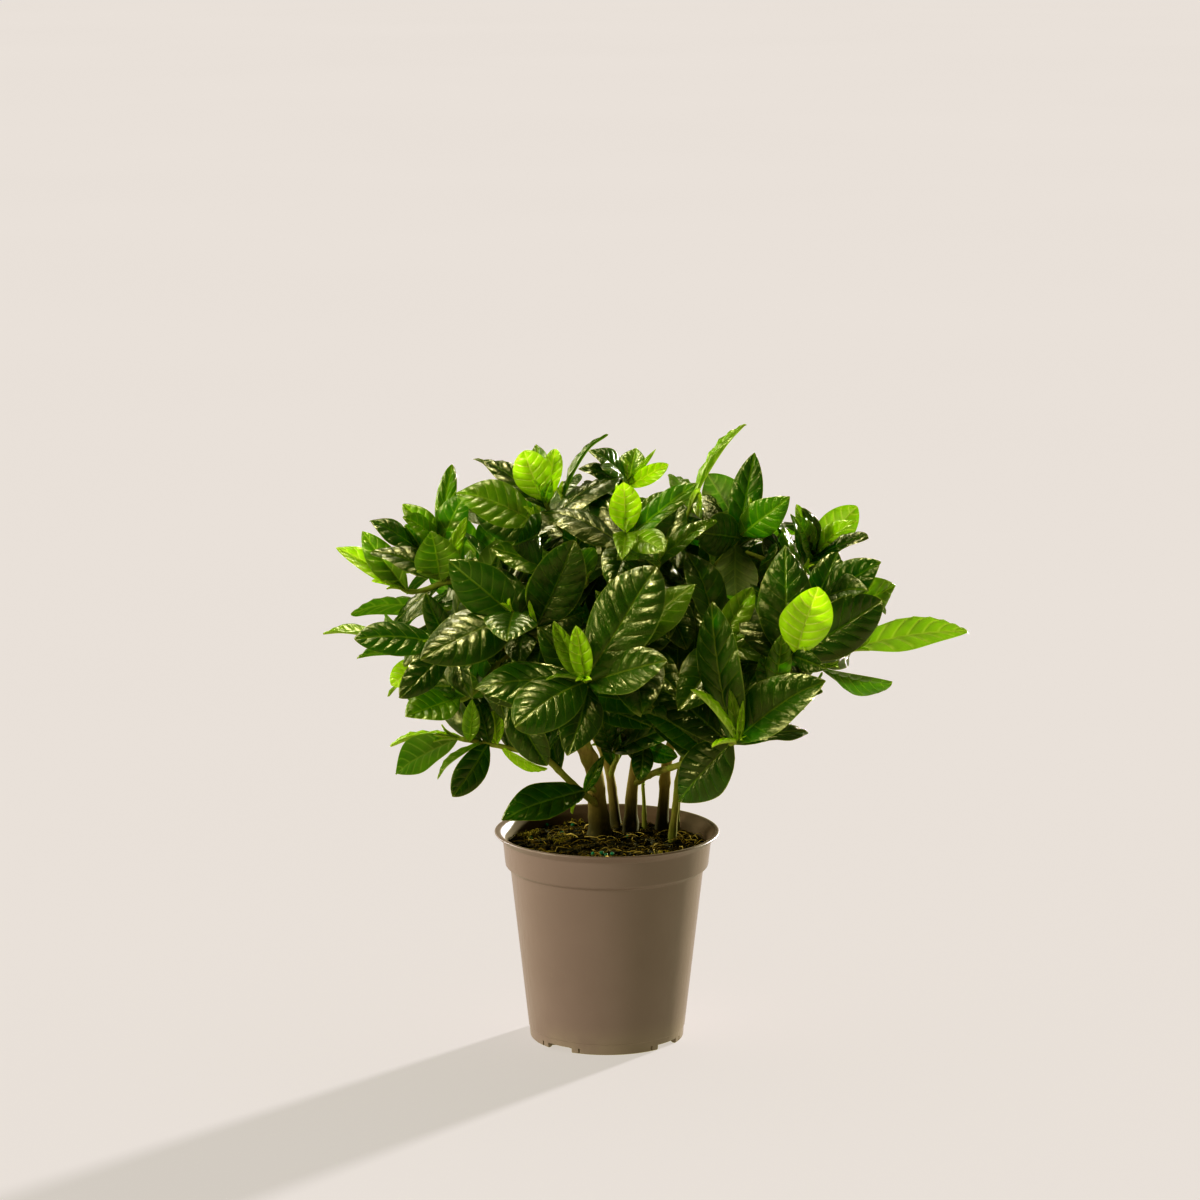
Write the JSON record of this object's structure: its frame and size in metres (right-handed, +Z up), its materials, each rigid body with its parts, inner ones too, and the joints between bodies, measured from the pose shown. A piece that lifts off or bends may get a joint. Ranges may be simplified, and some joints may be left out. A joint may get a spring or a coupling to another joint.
{
  "type": "potted gardenia",
  "caption": "Bushy leafy gardenia of several rooted stems standing in compost in a plain round tapered nursery pot with a flared lip and a footed base.",
  "frame": {"origin": "centre of the pot's underside, on the surface that it stands on", "axes": "+Z up along the pot's axis, -Y towards the viewer of the picture, +X to the viewer's right"},
  "size_m": [0.364, 0.3048, 0.361],
  "materials": {
    "pot_plastic": "satin moulded plastic, taupe",
    "compost": "damp mossy compost with fibres",
    "foliage": "glossy leathery leaves on woody stems"
  },
  "bodies": {
    "root": {"pot": "pot_plastic", "soil": "compost", "gardenia_left": "foliage", "gardenia_back_left": "foliage", "gardenia_middle": "foliage", "gardenia_right": "foliage", "gardenia_front_right": "foliage", "gardenia_sprig": "foliage"}
  },
  "joints": []
}
